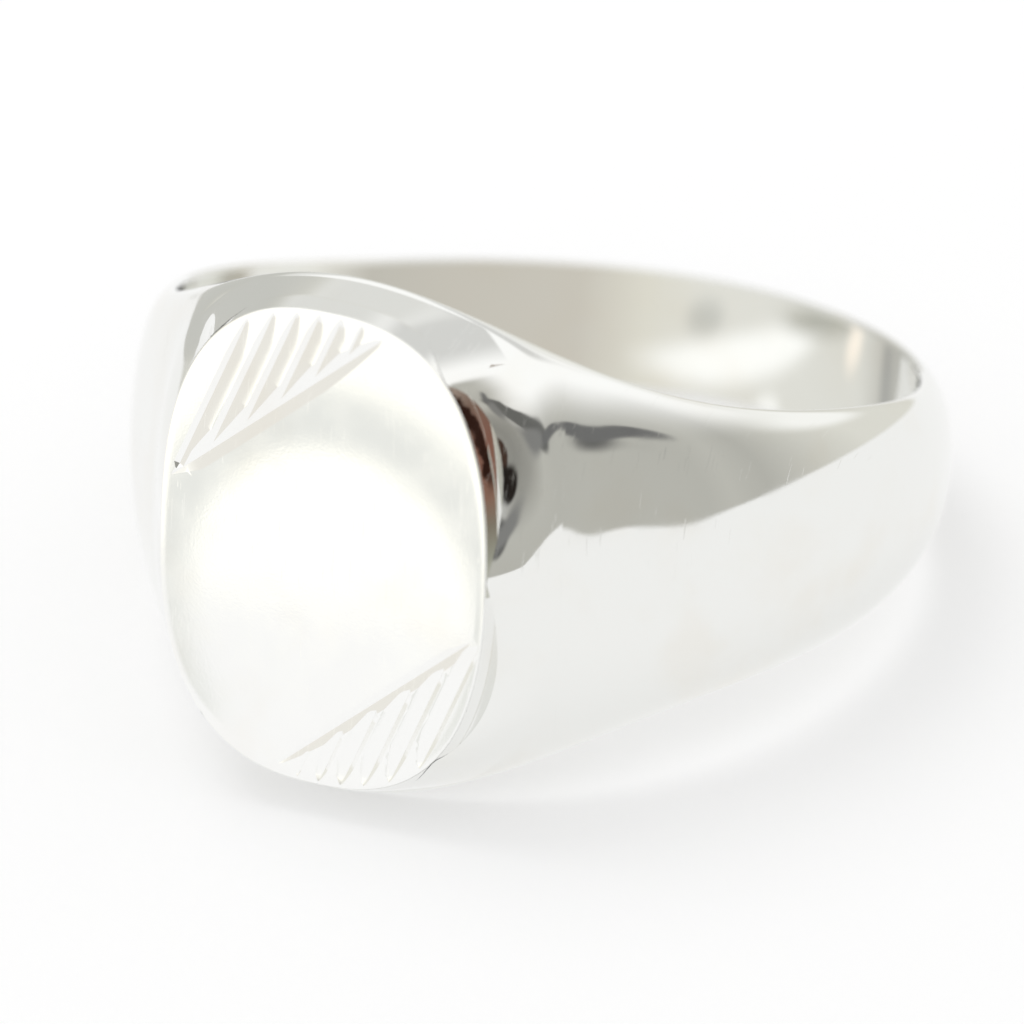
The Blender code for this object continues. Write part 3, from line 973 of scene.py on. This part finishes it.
def make_floor():
    """A small round white sheet; past its edge the world is as white as the lit sheet.

    Part of its light is its own, more so where the silver mirrors it, so that shadows stay pale.
    """
    bm = bmesh.new()
    bmesh.ops.create_circle(bm, cap_ends=True, segments=FLOOR_SEGMENTS, radius=FLOOR_RADIUS)
    bmesh.ops.translate(bm, vec=(*FLOOR_CENTRE, 0), verts=bm.verts)
    mesh = bpy.data.meshes.new("floor")
    bm.to_mesh(mesh)
    bm.free()
    floor = bpy.data.objects.new("floor", mesh)
    bpy.context.scene.collection.objects.link(floor)
    material = bpy.data.materials.new("white_sheet")
    material.use_nodes = True
    surface = material.node_tree.nodes["Principled BSDF"]
    nodes = Nodes(material.node_tree)
    mirrored = nodes.add("ShaderNodeLightPath").outputs["Is Glossy Ray"]
    nodes.feed(surface.inputs["Base Color"], nodes.mix(mirrored, grey(FLOOR_WHITE), grey(MIRRORED_WHITE)))
    glow = nodes.math("MULTIPLY_ADD", mirrored, MIRRORED_GLOW - FLOOR_GLOW, FLOOR_GLOW)
    nodes.feed(surface.inputs["Emission Strength"], glow)
    surface.inputs["Roughness"].default_value = 1.0
    surface.inputs["Specular IOR Level"].default_value = 0.0
    surface.inputs["Emission Color"].default_value = (1.0, 1.0, 1.0, 1.0)
    floor.data.materials.append(material)


def grey(level):
    return (level, level, level, 1.0)


def soft_patch(nodes, azimuth, elevation, centre, size, turn, softness):
    """1 inside an ellipse of directions, in degrees, and 0 outside it."""
    right = nodes.math("WRAP", nodes.math("SUBTRACT", azimuth, centre[0]), 180.0, -180.0)
    up = nodes.math("SUBTRACT", elevation, centre[1])
    cosine = math.cos(math.radians(turn))
    sine = math.sin(math.radians(turn))
    across = nodes.math("ADD", nodes.math("MULTIPLY", right, cosine), nodes.math("MULTIPLY", up, sine))
    along = nodes.math("SUBTRACT", nodes.math("MULTIPLY", up, cosine), nodes.math("MULTIPLY", right, sine))
    across = nodes.math("DIVIDE", across, size[0])
    along = nodes.math("DIVIDE", along, size[1])
    outside = nodes.smooth(nodes.distance(across, along), 1 - softness, 1 + softness)
    return nodes.math("SUBTRACT", 1.0, outside)


def add_patches(nodes, azimuth, elevation, colour, patches):
    """Paint soft patches of their own colours over a colour."""
    for centre, size, turn, softness, patch_colour in patches:
        patch = soft_patch(nodes, azimuth, elevation, centre, size, turn, softness)
        colour = nodes.mix(patch, colour, (*patch_colour, 1.0))
    return colour


def azimuth_and_elevation(nodes, direction):
    """A direction's angles in degrees: to the right of the table's front, and above the horizon."""
    parts = nodes.add("ShaderNodeSeparateXYZ")
    nodes.feed(parts.inputs[0], direction)
    x, y, z = parts.outputs
    degrees = 180 / math.pi
    elevation = nodes.math("MULTIPLY", nodes.math("ARCSINE", z), degrees)
    front = nodes.math("MULTIPLY", y, -1.0)
    azimuth = nodes.math("MULTIPLY", nodes.math("ARCTAN2", x, front), degrees)
    return azimuth, elevation


def make_world():
    """White for the camera, even light for the sheet, and a room with dark corners for the silver."""
    world = bpy.data.worlds.new("studio")
    bpy.context.scene.world = world
    world.use_nodes = True
    tree = world.node_tree
    nodes = Nodes(tree)
    azimuth, elevation = azimuth_and_elevation(nodes, nodes.add("ShaderNodeTexCoord").outputs["Generated"])
    tinted = [(degrees, [level * part for part in ROOM_TINT]) for degrees, level in ROOM_ROUND]
    around_room = nodes.ramp(azimuth, tinted)
    ceiling = nodes.smooth(elevation, CEILING_FROM, CEILING_FULL)
    room = nodes.mix(ceiling, around_room, grey(CEILING))
    room = add_patches(nodes, azimuth, elevation, room, PATCHES)
    path = nodes.add("ShaderNodeLightPath")
    seen = nodes.mix(path.outputs["Is Glossy Ray"], grey(EVEN_LIGHT), room)
    seen = nodes.mix(path.outputs["Is Camera Ray"], seen, grey(1.0))
    nodes.feed(tree.nodes["Background"].inputs["Color"], seen)


def make_card(bm, name, placed):
    """A card that only mirrored rays meet, with its material's nodes."""
    mesh = bpy.data.meshes.new(name)
    bm.to_mesh(mesh)
    bm.free()
    card = bpy.data.objects.new(name, mesh)
    bpy.context.scene.collection.objects.link(card)
    card.matrix_world = placed
    card.visible_camera = False
    card.visible_diffuse = False
    card.visible_transmission = False
    card.visible_volume_scatter = False
    card.visible_shadow = False
    material = bpy.data.materials.new(name)
    material.use_nodes = True
    mesh.materials.append(material)
    return Nodes(material.node_tree)


def make_flat_card(name, middle, right, up, half_width, half_height):
    """A flat card's material nodes and its own coordinates in millimetres."""
    bm = bmesh.new()
    bmesh.ops.create_grid(bm, x_segments=1, y_segments=1, size=1.0)
    bmesh.ops.scale(bm, vec=(half_width, half_height, 1), verts=bm.verts)
    turned = Matrix((right, up, right.cross(up))).transposed().to_4x4()
    nodes = make_card(bm, name, Matrix.Translation(middle) @ turned)
    parts = nodes.add("ShaderNodeSeparateXYZ")
    nodes.feed(parts.inputs[0], nodes.add("ShaderNodeTexCoord").outputs["Object"])
    place = [nodes.math("MULTIPLY", parts.outputs[i], 1 / MM) for i in range(2)]
    return nodes, place


def show_card(nodes, mask, colour):
    """Let a card shine in its colour where the mask is 1, and be clear where it is 0."""
    glow = nodes.add("ShaderNodeEmission")
    nodes.feed(glow.inputs["Color"], colour)
    clear = nodes.add("ShaderNodeBsdfTransparent")
    both = nodes.add("ShaderNodeMixShader")
    nodes.feed(both.inputs[0], mask)
    nodes.feed(both.inputs[1], clear.outputs[0])
    nodes.feed(both.inputs[2], glow.outputs[0])
    nodes.feed(nodes.tree.nodes["Material Output"].inputs["Surface"], both.outputs[0])


def ray_angles(nodes):
    """The angles of the ray that meets the surface."""
    turned = nodes.add("ShaderNodeVectorMath", operation="SCALE")
    nodes.feed(turned.inputs[0], nodes.add("ShaderNodeNewGeometry").outputs["Incoming"])
    turned.inputs["Scale"].default_value = -1.0
    return azimuth_and_elevation(nodes, turned.outputs[0])


def make_arc_card(back):
    """A painted reflection: the soft grey arc glowing on a card in front of the table, for the rays that the
    table mirrors.
    """
    across = RING.col[0].xyz
    up = RING.col[2].xyz
    front = -RING.col[1].xyz
    mirrored = 2 * front.dot(back) * front - back
    middle = RING.translation + front * TABLE["top"] + mirrored * ARC_DISTANCE
    size = 2 * TABLE["half_length"]
    nodes, (x, y) = make_flat_card("arc_card", middle, across, up, size, size)
    x = nodes.math("SUBTRACT", x, ARC_MIDDLE[0])
    y = nodes.math("SUBTRACT", y, ARC_MIDDLE[1])
    radius = nodes.distance(x, y)
    inner = nodes.smooth(radius, ARC_RADII[0] - ARC_EDGES[0], ARC_RADII[0] + ARC_EDGES[0])
    outer = nodes.smooth(radius, ARC_RADII[1] + ARC_EDGES[1], ARC_RADII[1] - ARC_EDGES[1])
    ray = nodes.add("ShaderNodeVectorMath", operation="DOT_PRODUCT")
    nodes.feed(ray.inputs[0], nodes.add("ShaderNodeNewGeometry").outputs["Incoming"])
    nodes.feed(ray.inputs[1], -mirrored)
    near, far = (math.cos(math.radians(angle)) for angle in ARC_RAYS)
    straight = nodes.smooth(ray.outputs["Value"], far, near)
    mask = nodes.math("MULTIPLY", nodes.math("MULTIPLY", inner, outer), straight)
    # Painted reflection: the card glows grey in the arc, only for rays mirrored off the table.
    show_card(nodes, mask, (*PAINTED_ARC_REFLECTION_GREY, 1.0))


def make_hand_reflection_card():
    """A painted reflection for the wall at the table's right: a glowing card, dark like a hand, close over
    the shoulder.
    """
    turn = math.radians(HAND_AZIMUTH)
    right = Vector((math.cos(turn), math.sin(turn), 0))
    sizes = Vector((TABLE["half_width"], -TABLE["top"], TABLE["half_length"]))
    middle = RING @ (Vector(HAND_PLACE) * sizes)
    nodes, (x, y) = make_flat_card("hand_reflection_card", middle, right, Vector((0, 0, 1)), *HAND_HALF_SIZE)
    azimuth, _ = ray_angles(nodes)
    centre, near, far = HAND_RAYS
    off = nodes.math("ABSOLUTE", nodes.math("SUBTRACT", azimuth, centre))
    mask = nodes.smooth(off, far, near)
    place = nodes.add("ShaderNodeTexCoord").outputs["Object"]
    blotch = nodes.math("SUBTRACT", noise(nodes, place, detail=3.0, scale=BLOTCHES_PER_MM / MM), 0.5)
    wander = nodes.math("MULTIPLY", blotch, SHADE_WANDER)
    line = nodes.math("MULTIPLY_ADD", y, *SHADE_LINE)
    side = nodes.math("ABSOLUTE", nodes.math("ADD", nodes.math("SUBTRACT", x, line), wander))
    dark, clear = SHADE_HALF_WIDTHS
    shade = nodes.smooth(side, clear, dark)
    shade = nodes.math("MULTIPLY", shade, nodes.smooth(y, *SHADE_FROM))
    # Painted reflection with painted shade: warm dark colours and a darker line glow for the wall's mirrored
    # rays.
    colour = nodes.mix(shade, nodes.ramp(y, HAND_REFLECTION_COLOURS), (*HAND_SHADE, 1.0))
    show_card(nodes, mask, colour)


def make_hole_card():
    """A painted reflection for the finger hole's wall: a glowing tube inside it, coloured by the direction of
    the ray.
    """
    bm = bmesh.new()
    radius = BORE_RADIUS * HOLE_RADIUS_SHARE
    length = TABLE["half_length"] * HOLE_LENGTH_SHARE
    bmesh.ops.create_cone(bm, segments=HOLE_SEGMENTS, radius1=radius, radius2=radius, depth=length)
    nodes = make_card(bm, "hole_card", RING)
    azimuth, elevation = ray_angles(nodes)
    colour = add_patches(nodes, azimuth, elevation, nodes.ramp(azimuth, HOLE_REFLECTION_ROUND), HOLE_REFLECTION_PATCHES)
    left_clear, left_full, right_full, right_clear = HOLE_RAYS
    left = nodes.smooth(azimuth, left_clear, left_full)
    mask = nodes.math("MULTIPLY", left, nodes.smooth(azimuth, right_clear, right_full))
    show_card(nodes, mask, colour)


def make_lamp():
    """A large soft lamp high on the left, which the silver doesn't mirror."""
    data = bpy.data.lights.new("soft_lamp", "AREA")
    data.shape = "DISK"
    data.size = LAMP_SIZE
    data.energy = LAMP_POWER
    lamp = bpy.data.objects.new("soft_lamp", data)
    bpy.context.scene.collection.objects.link(lamp)
    lamp.location = LAMP_PLACE
    lamp.rotation_euler = Vector(LAMP_PLACE).to_track_quat("Z", "Y").to_euler()
    lamp.visible_glossy = False


def make_camera(hub):
    """The long lens at the photographed angle; its focus stays on the side of the ring that it looks at."""
    back = Vector(
        (
            math.sin(AZIMUTH) * math.cos(ELEVATION),
            -math.cos(AZIMUTH) * math.cos(ELEVATION),
            math.sin(ELEVATION),
        )
    )
    level = Vector((math.cos(AZIMUTH), math.sin(AZIMUTH), 0))
    upright = back.cross(level)
    right = math.cos(ROLL) * level + math.sin(ROLL) * upright
    up = -math.sin(ROLL) * level + math.cos(ROLL) * upright
    middle = RING.translation
    data = bpy.data.cameras.new("camera")
    data.lens = LENS
    data.sensor_width = SENSOR
    data.clip_start, data.clip_end = CLIP
    camera = bpy.data.objects.new("camera", data)
    bpy.context.scene.collection.objects.link(camera)
    spot = middle + level * AIM_RIGHT + upright * AIM_UP + back * (LENS / SENSOR * VIEW_WIDTH)
    turned = Matrix((right, up, back)).transposed().to_4x4()
    camera.matrix_world = Matrix.Translation(spot) @ turned
    bpy.context.scene.camera = camera
    focus = bpy.data.objects.new("focus", None)
    bpy.context.scene.collection.objects.link(focus)
    follow = focus.constraints.new("COPY_LOCATION")
    follow.target = camera
    near = focus.constraints.new("LIMIT_DISTANCE")
    near.target = hub
    near.distance = FOCUS_IN_FRONT
    near.limit_mode = "LIMITDIST_ONSURFACE"
    data.dof.use_dof = True
    data.dof.focus_object = focus
    data.dof.aperture_fstop = F_STOP
    return back


def make_hub():
    """An empty in the finger hole's middle, turned like the ring."""
    hub = bpy.data.objects.new("ring_middle", None)
    bpy.context.scene.collection.objects.link(hub)
    hub.matrix_world = RING
    return hub


def main():
    hub = make_hub()
    polished = silver("polished_silver", hub, POLISHED)
    satin = silver("satin_silver", hub, POLISHED, SATIN)
    lining = silver("lining_silver", hub, LINING)
    solder = silver("hard_solder", hub, SOLDER)
    built = (
        (make_band(polished), "ring_body", "polished_silver"),
        (make_table(satin), "face_plate", "satin_silver"),
        (make_back_plate(lining), "back_plate", "lining_silver"),
        (make_table_solder(solder), "face_solder_seam", "hard_solder"),
        (make_back_solder(solder), "back_solder_seam", "hard_solder"),
        (make_sizing_solder(solder), "sizing_solder_seam", "hard_solder"),
    )
    for piece, node, slot in built:
        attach(piece, "root")
        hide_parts(node)
    make_floor()
    make_world()
    make_lamp()
    back = make_camera(hub)
    make_arc_card(back)
    make_hand_reflection_card()
    make_hole_card()
    bpy.context.scene.view_settings.view_transform = "Standard"


main()
